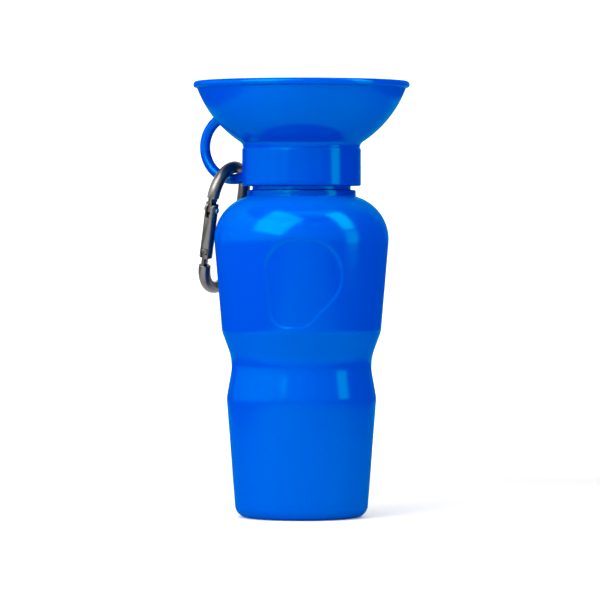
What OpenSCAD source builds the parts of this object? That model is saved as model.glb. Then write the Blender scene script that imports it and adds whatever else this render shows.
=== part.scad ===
// Travel water bottle for dogs: a soft squeeze bottle, a screw-on drinking bowl with a carry ring,
// a twist valve with a dip tube in the bottle's mouth, and a snap hook that hangs in the ring.
// Millimetres, +Z up, the bottle's recessed front toward -Y, standing on z = 0.

/* [Bottle] */
// Radius the lower taper would have at the table
foot_radius = 34.5; // [33:0.5:36]
// Rounding of the bottle's lower edge
foot_round = 6.5; // [5:0.5:7]
// Height of the hollow under the base
base_hollow = 2; // [1.5:0.5:3]
// Height of the ridge under the waist
ridge_height = 62.7; // [60:0.5:66]
// Radius of the ridge under the waist
ridge_radius = 39.4; // [38.5:0.1:40]
// Height of the waist
waist_height = 81.8; // [80:0.5:84]
// Radius where the two slopes of the waist would meet
waist_radius = 36; // [35.5:0.1:37]
// Rounding of the waist
waist_round = 25; // [15:1:28]
// Height of the shoulder of the grip above the waist
grip_height = 97.7; // [96:0.5:100]
// Radius of the bottle just above the waist
grip_radius = 41.8; // [41:0.1:42.5]
// Height where taper and shoulder slope would meet
shoulder_height = 161.4; // [160:0.2:162]
// Radius where taper and shoulder slope would meet
shoulder_radius = 47.2; // [46.8:0.1:47.5]
// Rounding of the shoulder
shoulder_round = 23.3; // [20:0.5:24]
// Wall thickness of the squeeze bottle
bottle_wall = 1.6; // [1.4:0.1:1.8]
// Depth of the thumb recess in the front
recess_depth = 0.6; // [0.3:0.1:0.8]

/* [Neck] */
// Rise of the shoulder slope to the neck
shoulder_rise = 8.3; // [8:0.1:8.6]
// Outer radius of the neck
neck_radius = 25.8; // [25.6:0.1:26]
// Radius of the bead under the bowl's collar
bead_radius = 28.5; // [28:0.1:29.5]
// Height of the bead above the neck's root
bead_high = 2.2; // [1.8:0.1:2.8]
// Height of the mouth rim above the neck's root
neck_tall = 20.3; // [19.8:0.1:21]

/* [Bowl] */
// Outer radius of the rolled lip
lip_radius = 56.8; // [56.5:0.1:57.5]
// Depth of the bowl from its lip to its floor
bowl_tall = 29.4; // [29:0.1:31]
// Height of the lip's rolled edge
lip_height = 3.5; // [3.4:0.1:3.7]
// Wall thickness of the bowl
bowl_wall = 2; // [1.8:0.1:2.2]
// Rounding of the bowl's side
bowl_round = 58; // [45:1:60]
// Height of the bowl's floor above the bottle's mouth
floor_lift = 9.6; // [9.4:0.1:10]
// Thickness of the bowl's floor
floor_thick = 2; // [1.9:0.1:2.1]
// Outer radius of the collar
collar_radius = 31.2; // [31:0.1:31.6]
// How far the collar reaches down past the bottle's mouth
collar_drop = 16; // [15.5:0.1:16.2]
// Height of the collar up to the crease under the bowl
collar_tall = 19.4; // [19:0.1:19.6]
// Bore of the collar over the neck's thread
thread_bore = 28; // [27.8:0.1:28.3]
// Bore of the collar round the valve's sealing ring
seal_bore = 27.2; // [27.2:0.05:27.25]

/* [Carry ring] */
// Angle of the ring behind the left side
ring_turn = 26; // [0:1:60]
// Distance of the ring's centre from the collar's face
ring_out = 8.8; // [8.4:0.1:9.2]
// Height of the ring's centre above the crease of the collar
ring_lift = 1.4; // [1:0.1:1.8]
// Radius of the ring to the middle of its bar
ring_radius = 17; // [16.9:0.05:17.3]
// Radius of the ring's round bar
ring_bar = 2.75; // [2.5:0.05:2.8]

/* [Valve] */
// Thickness of the gasket on the mouth rim
gasket_thick = 1.2; // [1.1:0.05:1.2]
// Thickness of the insert's disc
disc_thick = 2; // [1.8:0.1:2.2]
// Height of the insert's rim
rim_high = 3.7; // [3.5:0.1:3.7]
// Radius of the post that carries the plug
post_radius = 6; // [5.6:0.1:6.4]
// Radius of the silicone plug
plug_radius = 8; // [7.9:0.05:8]
// Radius of the drain hole in the bowl's floor
hole_radius = 10.4; // [10.3:0.05:10.5]
// Outer radius of the seat ring's flanges
seat_radius = 12.4; // [12:0.1:13]
// Outer radius of the dip tube
tube_radius = 4.5; // [4.3:0.1:4.6]
// Wall thickness of the dip tube
tube_wall = 1.2; // [1:0.1:1.4]
// Height of the dip tube's lower end
tube_bottom = 8; // [7:0.5:20]

/* [Snap hook] */
// Radius of the hook's round bar
rod_radius = 3.2; // [3:0.1:3.2]
// Radius of the hook's two bends, to the middle of the bar
bend_radius = 15; // [14.8:0.1:15.4]
// Straight length of the spine
spine_length = 37; // [36.8:0.2:38]
// How far the hook is turned about the ring's bar, seen from above, in degrees
hook_yaw = -4; // [-6:1:-2]
// How far the hook's foot leans out to rest by the shoulder, in degrees
hook_lean = 15.5; // [15.5:0.5:17]
// How far the hook tips within its own plane, in degrees
hook_tilt = -12; // [-13:1:-10]
// How far out along the ring from its lowest point the hook hangs, minus towards the bottle
hang_shift = -0.8; // [-0.9:0.1:-0.4]
// Radius of the gate
gate_radius = 3.45; // [3.3:0.05:3.5]
// Length from the gate's rivet to its lower end
gate_length = 26.8; // [26.5:0.1:27]
// Radius of the rivet
rivet_radius = 1; // [0.9:0.05:1.1]
// Turns of the gate's spring
spring_turns = 8; // [6:1:10]

/* [Hidden] */
neck_root = shoulder_height + shoulder_rise;
bead_top = neck_root + bead_high;
mouth_height = neck_root + neck_tall;
floor_top = mouth_height + floor_lift;
lip_top = floor_top + bowl_tall;
collar_bottom = mouth_height - collar_drop;
collar_top = collar_bottom + collar_tall;
ring_reach = collar_radius + ring_out;
ring_height = collar_top + ring_lift;
running_gap = 0.05;
clear_gap = 0.3;
hang_gap = 0.35;
arc_step = 4;
edge_small = 0.3;
edge_round = 0.8;
bottle_color = [0, 0.4, 0.9];
bowl_color = [0, 0.42, 0.95];
valve_color = [0.82, 0.87, 0.9];
silicone_color = [0.93, 0.94, 0.95];
rubber_color = [0.2, 0.2, 0.22];
tube_color = [0.86, 0.9, 0.93];
metal_color = [0.42, 0.43, 0.46];
steel_color = [0.7, 0.71, 0.73];

function unit(v) = v / norm(v);
function left_of(v) = [-v[1], v[0]];
function place_of(c) = [c[0], c[1]];

// Points of one rounded corner: p before it, q the corner with its rounding, s after it.
function corner_points(p, q, s) =
    q[2] == 0 ? [place_of(q)] :
    let (a = unit(place_of(p) - place_of(q)))
    let (b = unit(place_of(s) - place_of(q)))
    let (half = acos(a * b) / 2)
    let (centre = place_of(q) + unit(a + b) * q[2] / sin(half))
    let (run = q[2] / tan(half))
    let (from = place_of(q) + a * run - centre)
    let (to = place_of(q) + b * run - centre)
    let (turn = 180 - 2 * half)
    let (steps = max(3, ceil(turn / arc_step / (q[2] < 2 ? 4 : 1))))
    [for (i = [0:steps]) centre + (from * sin(turn * (1 - i / steps)) + to * sin(turn * i / steps)) / sin(turn)];

// Rounds every corner of a closed outline.
function round_closed(c) =
    [for (i = [0:len(c) - 1]) each corner_points(c[(i + len(c) - 1) % len(c)], c[i], c[(i + 1) % len(c)])];

// Rounds the inner corners of an open line and keeps its ends.
function round_open(c) =
    concat([place_of(c[0])],
        [for (i = [1:len(c) - 2]) each corner_points(c[i - 1], c[i], c[i + 1])],
        [place_of(c[len(c) - 1])]);

// Moves a line of corners to its left by d and keeps the roundings concentric.
function moved_corner(p, q, s, d) =
    let (m = left_of(unit(place_of(q) - place_of(p))))
    let (n = left_of(unit(place_of(s) - place_of(q))))
    let (at = place_of(q) + (m + n) * d / (1 + m * n))
    let (bends_left = m[0] * n[1] - m[1] * n[0] > 0)
    [at[0], at[1], max(0.2, bends_left ? q[2] - d : q[2] + d)];
function moved_left(c, d) =
    [for (i = [1:len(c) - 2]) moved_corner(c[i - 1], c[i], c[i + 1], d)];

function backward(list) = [for (i = [len(list) - 1:-1:0]) list[i]];

// The bottle's outline from the middle of its base up to the neck.
base_hollow_radius = 21;
base_ring_radius = 24.5;
body_line = [
    [0, base_hollow, 0],
    [base_hollow_radius, base_hollow, 2],
    [base_ring_radius, 0, 1],
    [foot_radius, 0, foot_round],
    [ridge_radius, ridge_height, 20],
    [waist_radius, waist_height, waist_round],
    [grip_radius, grip_height, 12],
    [shoulder_radius, shoulder_height, shoulder_round]
];
neck_line = [
    [neck_radius, neck_root, 1],
    [neck_radius, mouth_height, 0]
];
// Height at which the shoulder slope meets the bead's outer face.
shoulder_fall = (neck_root - shoulder_height) / (shoulder_radius - neck_radius);
bead_bottom = neck_root - (bead_radius - neck_radius) * shoulder_fall;
bead_line = [
    [bead_radius, bead_bottom, 0],
    [bead_radius, bead_top, edge_round],
    [neck_radius, bead_top, 0.5],
    [neck_radius, mouth_height, 0.4]
];
mouth_bore = neck_radius - bottle_wall;
bottle_outer = concat(body_line, bead_line, [[mouth_bore, mouth_height, 0]]);
bottle_inner = concat(
    [[0, base_hollow + bottle_wall, 0]],
    moved_left(concat(body_line, neck_line), bottle_wall),
    [[mouth_bore, mouth_height, 0]]);

// Outline of the thumb recess seen from the front, with its roundings.
recess_line = [
    [-20.6, 146, 15],
    [21, 146, 18],
    [21, 120, 17],
    [2.5, 100.4, 10],
    [-15.5, 100.4, 9]
];
taper_rise = (shoulder_radius - grip_radius) / (shoulder_height - grip_height);
recess_low = 99;
recess_high = 147.5;
recess_reach = 60;
function taper_radius(z) = grip_radius + (z - grip_height) * taper_rise;

// The bowl's heights and its outer side.
bowl_base_rise = 2.9;
bowl_belly_in = 8.75;
bowl_belly_rise = 8.25;
bowl_base_height = collar_top + bowl_base_rise;
bowl_belly_radius = lip_radius - bowl_belly_in;
bowl_belly_height = floor_top + bowl_belly_rise;
lip_low = lip_top - lip_height;
bowl_side = [
    [collar_radius, collar_top, edge_small],
    [collar_radius - 0.6, collar_top + 0.6, edge_small],
    [collar_radius - 0.2, bowl_base_height, 3.5],
    [bowl_belly_radius, bowl_belly_height, bowl_round],
    [lip_radius - 1.85, lip_low, 0.5]
];
side_in = moved_left(bowl_side, bowl_wall);
belly_in = side_in[2];
base_in = side_in[1];
wall_in_slope = (belly_in[0] - base_in[0]) / (belly_in[1] - base_in[1]);
floor_edge = belly_in[0] - (belly_in[1] - floor_top) * wall_in_slope;
lip_in = lip_radius - lip_height - 0.3;
floor_under = floor_top - floor_thick;
seal_top = mouth_height + gasket_thick + rim_high + 2 * running_gap;
seal_bottom = mouth_height - 0.4;
chamber_radius = 24.5;
bowl_line = concat(
    [[thread_bore, collar_bottom, 0.4],
     [collar_radius, collar_bottom, edge_round]],
    bowl_side,
    [[lip_radius, lip_low, 1.4],
     [lip_radius, lip_top, 1.7],
     [lip_in, lip_top, 1.6],
     [lip_in - 0.35, lip_low - 0.3, 2],
     belly_in,
     [floor_edge, floor_top, 8],
     [hole_radius, floor_top, edge_small],
     [hole_radius, floor_under, edge_small],
     [chamber_radius, floor_under, edge_round],
     [chamber_radius, seal_top, 0],
     [seal_bore, seal_top, 0],
     [seal_bore, seal_bottom, edge_small],
     [thread_bore, seal_bottom - 1, edge_small]]);
// The ring's ends are buried to the middle of the wall.
root_deep = 1;
root_drop = 6;
root_low = collar_bottom - root_drop;
root_line = concat([[collar_radius, root_low, 0]], bowl_side, [[lip_radius, lip_top, 0]]);
ring_root = concat(
    [[0, root_low], [collar_radius - root_deep, root_low]],
    round_open(moved_left(root_line, root_deep)),
    [[0, lip_low]]);

// Heights in the valve.
disc_low = mouth_height + gasket_thick;
disc_top = disc_low + disc_thick;
rim_top = disc_low + rim_high;
rim_radius = seal_bore - clear_gap;
ring_section = 0.9;
ring_groove_high = 2 * ring_section + 0.1;
ring_groove_low = disc_low + 0.9;
oring_radius = seal_bore - running_gap - ring_section;
groove_radius = oring_radius - ring_section - running_gap;
skirt_radius = mouth_bore - clear_gap;
skirt_wall = 1.4;
skirt_deep = 7;
socket_deep = 13;
socket_wall = 2;
socket_bore = tube_radius + running_gap;
bevel_angle = 30;
bevel_block = 20;
bevel_drop = 2.5;
post_bore = 3.2;
plug_sunk = 0.8;
plug_low = floor_top - plug_sunk;
plug_tall = 2.8;
plug_side = plug_low + plug_tall - 1;
plug_top = plug_low + plug_tall;
plug_skirt = 0.5;
plug_hug = 0.2;
post_top = plug_low + plug_skirt - 0.1;
stem_radius = 4;
stem_top = post_top + 1.5;
window_width = 3.2;
window_low = disc_top + 0.4;
window_high = 2.8;
lip_seal_low = floor_top - 0.2;
lip_seal_high = floor_top + 0.8;
seat_bore = plug_radius + running_gap;
seat_line = [
    [seat_bore + 1.2, floor_under - 0.8, 0.2],
    [seat_radius, floor_under - 0.8, 0.3],
    [seat_radius - 0.2, floor_under - running_gap, 0],
    [hole_radius - running_gap, floor_under - running_gap, 0],
    [hole_radius - running_gap, floor_top + running_gap, 0],
    [seat_radius - 0.2, floor_top + running_gap, 0],
    [seat_radius, lip_seal_high, 0.3],
    [seat_bore, lip_seal_high, 0.2],
    [seat_bore, lip_seal_low, 0.2],
    [seat_bore + 1.2, lip_seal_low - 1, 0.2]
];

// Where the hook hangs on the ring.
hook_turn = 90 - ring_turn;
hang_depth = ring_radius - ring_bar - rod_radius - hang_gap;
hang_out = ring_reach + hang_shift;
hang_height = ring_height - sqrt(hang_depth * hang_depth - hang_shift * hang_shift);
// Levels along the gate, measured from the middle of the hook's upper bend.
stub_end = -1.3;
rivet_level = -5.2;
gate_low = rivet_level - gate_length;
cheek_radius = gate_radius + 0.2;
tongue_thick = 2;
tongue_half = 2.4;
tongue_low = rivet_level - 2.5;
fork_slot = 2.6;
fork_low = rivet_level - 4;
spring_bore = 1.6;
spring_low = rivet_level - 17.5;
plunger_top = tongue_low - 0.15;
plunger_radius = 1.5;
plunger_foot = plunger_top - 2.4;
guide_radius = 0.8;
guide_long = 5;
coil_radius = 1.15;
wire_radius = 0.2;
coil_steps = 16;
coil_sides = 6;
lower_stub = -spine_length + 0.6;
nose_thick = 1.6;
nose_slot = 2.4;
head_width = 3.6;
head_slot = 4.4;
head_low = gate_low + 2.6;
head_high = 2.4;
nose_in = 1.5;
nose_out = -1.7;
slot_in = 1.9;

$fn = 96;

// Puts the hook's own plane (x toward the spine, z up) where it hangs in the ring.
module hook_place() {
    rotate([0, 0, hook_turn])
        translate([0, hang_out, hang_height])
            rotate([hook_lean, 0, hook_yaw])
                translate([0, 0, -bend_radius])
                    rotate([0, hook_tilt, 0])
                        children();
}

// The thumb recess: a shallow pad cut into the taper.
module recess_cut() {
    intersection() {
        rotate([90, 0, 0])
            linear_extrude(height = recess_reach)
                polygon(round_closed(recess_line));
        rotate_extrude()
            polygon([
                [taper_radius(recess_low) - recess_depth, recess_low],
                [taper_radius(recess_low) + 3, recess_low],
                [taper_radius(recess_high) + 3, recess_high],
                [taper_radius(recess_high) - recess_depth, recess_high]]);
    }
}

module bottle() {
    color(bottle_color)
        difference() {
            rotate_extrude()
                polygon(concat(round_open(bottle_outer), backward(round_open(bottle_inner))));
            recess_cut();
        }
}

module carry_ring() {
    difference() {
        rotate([0, 0, hook_turn])
            translate([0, ring_reach, ring_height])
                rotate([0, 90, 0])
                    rotate_extrude()
                        translate([ring_radius, 0])
                            circle(r = ring_bar);
        rotate_extrude()
            polygon(ring_root);
    }
}

module bowl() {
    color(bowl_color)
        union() {
            rotate_extrude()
                polygon(round_closed(bowl_line));
            carry_ring();
        }
}

module neck_insert() {
    color(valve_color)
        difference() {
            union() {
                rotate_extrude()
                    polygon([
                        [0, disc_low],
                        [skirt_radius - skirt_wall, disc_low],
                        [skirt_radius - skirt_wall, disc_low - skirt_deep],
                        [skirt_radius - 0.5, disc_low - skirt_deep],
                        [skirt_radius, disc_low - skirt_deep + 1],
                        [skirt_radius, disc_low],
                        [rim_radius, disc_low],
                        [rim_radius, ring_groove_low],
                        [groove_radius, ring_groove_low],
                        [groove_radius, ring_groove_low + ring_groove_high],
                        [rim_radius, ring_groove_low + ring_groove_high],
                        [rim_radius, rim_top],
                        [groove_radius - 1.8, rim_top],
                        [groove_radius - 1.8, disc_top],
                        [post_radius, disc_top],
                        [post_radius, post_top],
                        [stem_radius, post_top],
                        [stem_radius, stem_top],
                        [0, stem_top]]);
                translate([0, 0, disc_low - socket_deep])
                    cylinder(r = socket_bore + socket_wall, h = socket_deep + 1);
            }
            translate([0, 0, disc_low - socket_deep - 1])
                cylinder(r = socket_bore, h = socket_deep + 1);
            translate([0, 0, disc_low - 1])
                cylinder(r = post_bore, h = window_low + window_high - disc_low + 1);
            translate([-post_radius - 1, -window_width / 2, window_low])
                cube([2 * post_radius + 2, window_width, window_high]);
            translate([-window_width / 2, -post_radius - 1, window_low])
                cube([window_width, 2 * post_radius + 2, window_high]);
        }
}

module plug_seal() {
    color(silicone_color)
        rotate_extrude()
            polygon(round_closed([
                [0, stem_top + running_gap, 0],
                [stem_radius + running_gap, stem_top + running_gap, 0],
                [stem_radius + running_gap, plug_low + plug_skirt, 0],
                [post_radius + plug_hug, plug_low + plug_skirt, 0],
                [post_radius + plug_hug, plug_low, 0],
                [plug_radius, plug_low, 0.3],
                [plug_radius, plug_side, 0.6],
                [plug_radius - 2, plug_top - 0.1, 2],
                [0, plug_top, 0]]));
}

module seat_seal() {
    color(silicone_color)
        rotate_extrude()
            polygon(round_closed(seat_line));
}

module mouth_gasket() {
    color(rubber_color)
        translate([0, 0, mouth_height + running_gap])
            difference() {
                cylinder(r = neck_radius - 0.1, h = gasket_thick - running_gap);
                translate([0, 0, -1])
                    cylinder(r = mouth_bore, h = gasket_thick + 2);
            }
}

module insert_oring() {
    color(rubber_color)
        translate([0, 0, ring_groove_low + ring_groove_high / 2])
            rotate_extrude()
                translate([oring_radius, 0])
                    circle(r = ring_section);
}

module dip_tube() {
    color(tube_color)
        difference() {
            translate([0, 0, tube_bottom])
                cylinder(r = tube_radius, h = disc_low - 0.2 - tube_bottom);
            translate([0, 0, tube_bottom - 1])
                cylinder(r = tube_radius - tube_wall, h = disc_low - tube_bottom + 2);
            translate([0, 0, tube_bottom])
                rotate([0, bevel_angle, 0])
                    translate([-bevel_block, -bevel_block, -bevel_block - bevel_drop])
                        cube([2 * bevel_block, 2 * bevel_block, bevel_block]);
        }
}

module carabiner_frame() {
    color(metal_color)
        hook_place() {
            difference() {
                union() {
                    rotate([90, 0, 0])
                        rotate_extrude(angle = 180)
                            translate([bend_radius, 0])
                                circle(r = rod_radius);
                    translate([bend_radius, 0, -spine_length])
                        cylinder(r = rod_radius, h = spine_length);
                    translate([0, 0, -spine_length])
                        rotate([-90, 0, 0])
                            rotate_extrude(angle = 180)
                                translate([bend_radius, 0])
                                    circle(r = rod_radius);
                    translate([-bend_radius, 0, stub_end])
                        cylinder(r = rod_radius, h = -stub_end);
                    translate([-bend_radius, 0, -spine_length])
                        cylinder(r = rod_radius, h = lower_stub + spine_length);
                    translate([-bend_radius - tongue_half, -tongue_thick / 2, tongue_low])
                        cube([2 * tongue_half, tongue_thick, stub_end - tongue_low + 1]);
                    translate([-bend_radius + nose_out, -nose_thick / 2, lower_stub - 1])
                        cube([nose_in - nose_out, nose_thick, head_low - lower_stub + 2]);
                    translate([-bend_radius + nose_out, -head_width / 2, head_low])
                        cube([nose_in - nose_out, head_width, head_high]);
                }
                translate([-bend_radius, 0, rivet_level])
                    rotate([90, 0, 0])
                        cylinder(r = rivet_radius + running_gap, h = 4 * rod_radius, center = true);
            }
        }
}

module carabiner_gate() {
    color(metal_color)
        hook_place()
            translate([-bend_radius, 0, 0])
                difference() {
                    intersection() {
                        translate([0, 0, gate_low])
                            cylinder(r = gate_radius, h = gate_length + 10);
                        union() {
                            translate([0, 0, rivet_level])
                                rotate([90, 0, 0])
                                    cylinder(r = cheek_radius, h = 4 * gate_radius, center = true);
                            translate([-5, -5, gate_low - 5])
                                cube([10, 10, gate_length + 5]);
                        }
                    }
                    translate([-5, -fork_slot / 2, fork_low])
                        cube([10, fork_slot, 12]);
                    translate([0, 0, spring_low])
                        cylinder(r = spring_bore, h = tongue_low - spring_low);
                    translate([0, 0, rivet_level])
                        rotate([90, 0, 0])
                            cylinder(r = rivet_radius + running_gap, h = 4 * gate_radius, center = true);
                    translate([-5, -nose_slot / 2, gate_low - 1])
                        cube([5 + slot_in, nose_slot, head_low - gate_low + 2]);
                    translate([-5, -head_slot / 2, head_low - 0.4])
                        cube([5 + slot_in, head_slot, head_high + 0.9]);
                }
}

module gate_rivet() {
    color(steel_color)
        hook_place()
            translate([-bend_radius, 0, rivet_level])
                rotate([90, 0, 0]) {
                    cylinder(r = rivet_radius, h = 2 * gate_radius + 0.2, center = true);
                    translate([0, 0, gate_radius + 0.1])
                        cylinder(r1 = rivet_radius + 0.8, r2 = rivet_radius + 0.2, h = 0.5);
                    translate([0, 0, -gate_radius - 0.6])
                        cylinder(r1 = rivet_radius + 0.2, r2 = rivet_radius + 0.8, h = 0.5);
                }
}

module gate_spring() {
    coil_low = spring_low + wire_radius + 0.05;
    coil_high = plunger_foot - wire_radius - 0.05;
    rings = spring_turns * coil_steps;
    points = [for (i = [0:rings]) for (k = [0:coil_sides - 1])
        let (a = 360 * i / coil_steps)
        let (b = 360 * k / coil_sides)
        let (r = coil_radius + wire_radius * cos(b))
        [r * cos(a), r * sin(a), coil_low + (coil_high - coil_low) * i / rings + wire_radius * sin(b)]];
    sides = [for (i = [0:rings - 1]) for (k = [0:coil_sides - 1])
        [i * coil_sides + k,
         (i + 1) * coil_sides + k,
         (i + 1) * coil_sides + (k + 1) % coil_sides,
         i * coil_sides + (k + 1) % coil_sides]];
    first_end = [for (k = [0:coil_sides - 1]) k];
    last_end = [for (k = [coil_sides - 1:-1:0]) rings * coil_sides + k];
    color(steel_color)
        hook_place()
            translate([-bend_radius, 0, 0])
                polyhedron(points = points, faces = concat(sides, [first_end, last_end]));
}

module spring_plunger() {
    color(steel_color)
        hook_place()
            translate([-bend_radius, 0, 0]) {
                translate([0, 0, plunger_foot])
                    cylinder(r = plunger_radius, h = plunger_top - plunger_foot);
                translate([0, 0, plunger_foot - guide_long])
                    cylinder(r = guide_radius, h = guide_long + 1);
            }
}

bottle();
bowl();
neck_insert();
plug_seal();
seat_seal();
mouth_gasket();
insert_oring();
dip_tube();
carabiner_frame();
carabiner_gate();
gate_rivet();
gate_spring();
spring_plunger();
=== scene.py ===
"""Looks of the dog travel water bottle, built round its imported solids.

Lengths are written in millimetres and turned into metres by MM where a mesh is made.
"""

import math

import bpy
from mathutils import Matrix, Vector


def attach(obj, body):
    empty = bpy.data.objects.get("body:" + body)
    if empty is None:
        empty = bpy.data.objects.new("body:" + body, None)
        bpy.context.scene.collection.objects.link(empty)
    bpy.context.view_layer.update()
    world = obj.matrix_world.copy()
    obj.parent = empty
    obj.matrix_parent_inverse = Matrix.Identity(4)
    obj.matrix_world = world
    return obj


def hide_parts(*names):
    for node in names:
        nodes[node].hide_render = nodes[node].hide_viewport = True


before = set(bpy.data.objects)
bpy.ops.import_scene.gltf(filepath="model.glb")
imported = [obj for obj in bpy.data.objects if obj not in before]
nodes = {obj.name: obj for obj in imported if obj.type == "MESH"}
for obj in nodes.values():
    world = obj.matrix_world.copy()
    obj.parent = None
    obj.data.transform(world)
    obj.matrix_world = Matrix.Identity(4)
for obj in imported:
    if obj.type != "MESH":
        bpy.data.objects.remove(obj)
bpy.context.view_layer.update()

MM = 0.001
TURN = 2 * math.pi

# Drawing sizes, in millimetres from here to the hook's place
RUNNING_GAP = 0.05

# Bottle
BASE_HOLLOW = 2.0
BASE_HOLLOW_RADIUS = 21.0
BASE_RING_RADIUS = 24.5
FOOT_RADIUS = 34.5
FOOT_ROUND = 6.5
RIDGE_RADIUS = 39.4
RIDGE_HEIGHT = 62.7
WAIST_RADIUS = 36.0
WAIST_HEIGHT = 81.8
WAIST_ROUND = 25.0
GRIP_RADIUS = 41.8
GRIP_HEIGHT = 97.7
SHOULDER_RADIUS = 47.2
SHOULDER_HEIGHT = 161.4
SHOULDER_ROUND = 23.3
WALL = 1.6
NECK_ROOT = 169.7
NECK_RADIUS = 25.8
BEAD_RADIUS = 28.5
BEAD_TOP = NECK_ROOT + 2.2
MOUTH = NECK_ROOT + 20.3
MOUTH_BORE = NECK_RADIUS - WALL
RECESS_DEPTH = 0.6
RECESS_EDGE = 1.7
RECESS_LOW = 98.5
RECESS_HIGH = 148.0

# Bowl with its collar
COLLAR_RADIUS = 31.2
COLLAR_BOTTOM = MOUTH - 16
COLLAR_TOP = COLLAR_BOTTOM + 19.4
LIP_RADIUS = 56.8
FLOOR = MOUTH + 9.6
FLOOR_UNDER = FLOOR - 2
LIP_TOP = FLOOR + 29.4
LIP_LOW = LIP_TOP - 3.5
LIP_IN = LIP_RADIUS - 3.8
LIP_OVERHANG = 1.85
LIP_TAPER = 0.35
LIP_DRIP = 0.3
COLLAR_LEDGE = 0.6
BOWL_WALL = 2.0
BOWL_BASE_IN = 0.2
BOWL_BASE_RISE = 2.9
BOWL_BELLY_IN = 8.75
BOWL_BELLY_RISE = 8.25
BOWL_ROUND = 58.0
CHAMBER_RADIUS = 24.5
THREAD_BORE = 28.0
SEAL_BORE = 27.2

# Screw threads
PITCH = 4.0
THREAD_FACETS = 96  # in one turn
THREAD_ROOT_WIDTH = 2.3
THREAD_CREST_WIDTH = 1.0
THREAD_RUN_OUT = 0.12  # in turns
THREAD_SUNK = 0.3
NECK_THREAD_CREST = 27.2
NECK_THREAD_LOW = MOUTH - 13.2
NECK_THREAD_HIGH = MOUTH - 3.2
COLLAR_THREAD_CREST = 26.5
COLLAR_THREAD_LOW = MOUTH - 14.2
COLLAR_THREAD_HIGH = MOUTH - 7.6

# Carry ring
RING_TURN = math.radians(26)
RING_REACH = COLLAR_RADIUS + 8.8
RING_HEIGHT = COLLAR_TOP + 1.4
RING_RADIUS = 17.0
RING_BAR = 2.75
RING_LOW = math.radians(-130)
RING_HIGH = math.radians(80)
FLARE = 0.6
FLARE_LENGTH = 1.3
ROOT_DEPTH = 1.0
ROOT_DROP = 6.0

# Valve, seals and tube
GASKET = 1.2
GASKET_RADIUS = NECK_RADIUS - 0.1
DISC_LOW = MOUTH + GASKET
DISC_TOP = DISC_LOW + 2
RIM_TOP = DISC_LOW + 3.7
RIM_RADIUS = SEAL_BORE - 0.3
RIM_WALL = 1.8
ORING_SECTION = 0.9
ORING_RADIUS = SEAL_BORE - RUNNING_GAP - ORING_SECTION
GROOVE_LOW = DISC_LOW + 0.9
GROOVE_HIGH = GROOVE_LOW + 2 * ORING_SECTION + 0.1
GROOVE_RADIUS = ORING_RADIUS - ORING_SECTION - RUNNING_GAP
SKIRT_RADIUS = MOUTH_BORE - 0.3
SKIRT_WALL = 1.4
SKIRT_LOW = DISC_LOW - 7
SKIRT_LEAD_IN = 0.5
SKIRT_LEAD_RISE = 1.0
SOCKET_WALL = 2.0
SOCKET_LOW = DISC_LOW - 13
WINDOW_HALF = 1.6
WINDOW_LOW = DISC_TOP + 0.4
WINDOW_HIGH = WINDOW_LOW + 2.8
POST_RADIUS = 6.0
POST_BORE = 3.2
POST_BORE_TOP = DISC_TOP + 3.2
STEM_RADIUS = 4.0
PLUG_RADIUS = 8.0
PLUG_BORE = POST_RADIUS + 0.2
PLUG_CROWN = PLUG_RADIUS - 2
PLUG_LOW = FLOOR - 0.8
PLUG_SHELF = PLUG_LOW + 0.5
PLUG_EDGE = PLUG_LOW + 1.8
PLUG_DOME = PLUG_LOW + 2.7
PLUG_TOP = PLUG_LOW + 2.8
POST_TOP = PLUG_LOW + 0.4
STEM_TOP = POST_TOP + 1.5
HOLE_RADIUS = 10.4
SEAT_RADIUS = 12.4
SEAT_BORE = PLUG_RADIUS + RUNNING_GAP
SEAT_FLANGE = 0.8
SEAT_UNDERCUT = 0.2
SEAT_LEAD_IN = 1.2
SEAT_LEAD_TOP = FLOOR - 0.2
TUBE_RADIUS = 4.5
TUBE_WALL = 1.2
TUBE_BOTTOM = 8.0
TUBE_TOP = DISC_LOW - 0.2
TUBE_SLANT = math.radians(30)
TUBE_SLANT_DROP = 2.5

# Snap hook: levels are below the middle of its top bend, and what belongs to the gate is
# measured across from the gate's axis, below zero on the side away from the spine
ROD = 3.2
BEND = 15.0
SPINE = 37.0
HOOK_YAW = math.radians(-4)
HOOK_LEAN = math.radians(15.5)
HOOK_TILT = math.radians(-12)
HANG_GAP = 0.35
HANG_SHIFT = -0.8
HANG_OUT = RING_REACH + HANG_SHIFT
HANG_DEPTH = RING_RADIUS - RING_BAR - ROD - HANG_GAP
HANG_HEIGHT = RING_HEIGHT - math.sqrt(HANG_DEPTH**2 - HANG_SHIFT**2)
GATE_RADIUS = 3.45
CHEEK_RADIUS = GATE_RADIUS + 0.2
RIVET_LEVEL = -5.2
RIVET_RADIUS = 1.0
RIVET_HOLE = RIVET_RADIUS + RUNNING_GAP
RIVET_HALF = GATE_RADIUS + 0.1
RIVET_HEAD = RIVET_RADIUS + 0.8
RIVET_CROWN = RIVET_HEAD * 0.62
RIVET_DOME = 0.6
RIVET_DOME_EDGE = 0.5
STUB_END = -1.3
STUB_ROUND = 0.45
FORK_SHOULDER = 1.4
TONGUE_HALF = 1.05
TONGUE_REACH = 2.4
TONGUE_ROUND = 0.25
GATE_LOW = RIVET_LEVEL - 26.8
GATE_TOP = RIVET_LEVEL + CHEEK_RADIUS
GATE_ROUND = 0.35
GATE_EDGE = 0.14
GATE_SLOT = 1.3
GATE_SLOT_LOW = RIVET_LEVEL - 4
SPRING_BORE = 1.6
SPRING_LOW = RIVET_LEVEL - 17.5
LOWER_STUB = -SPINE + 0.6
NOSE_OUT = -2.8
NOSE_IN = 1.5
NOSE_HALF = 0.8
NOSE_ROUND = 0.2
HEAD_HALF = 1.8
HEAD_LOW = GATE_LOW + 2.6
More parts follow.
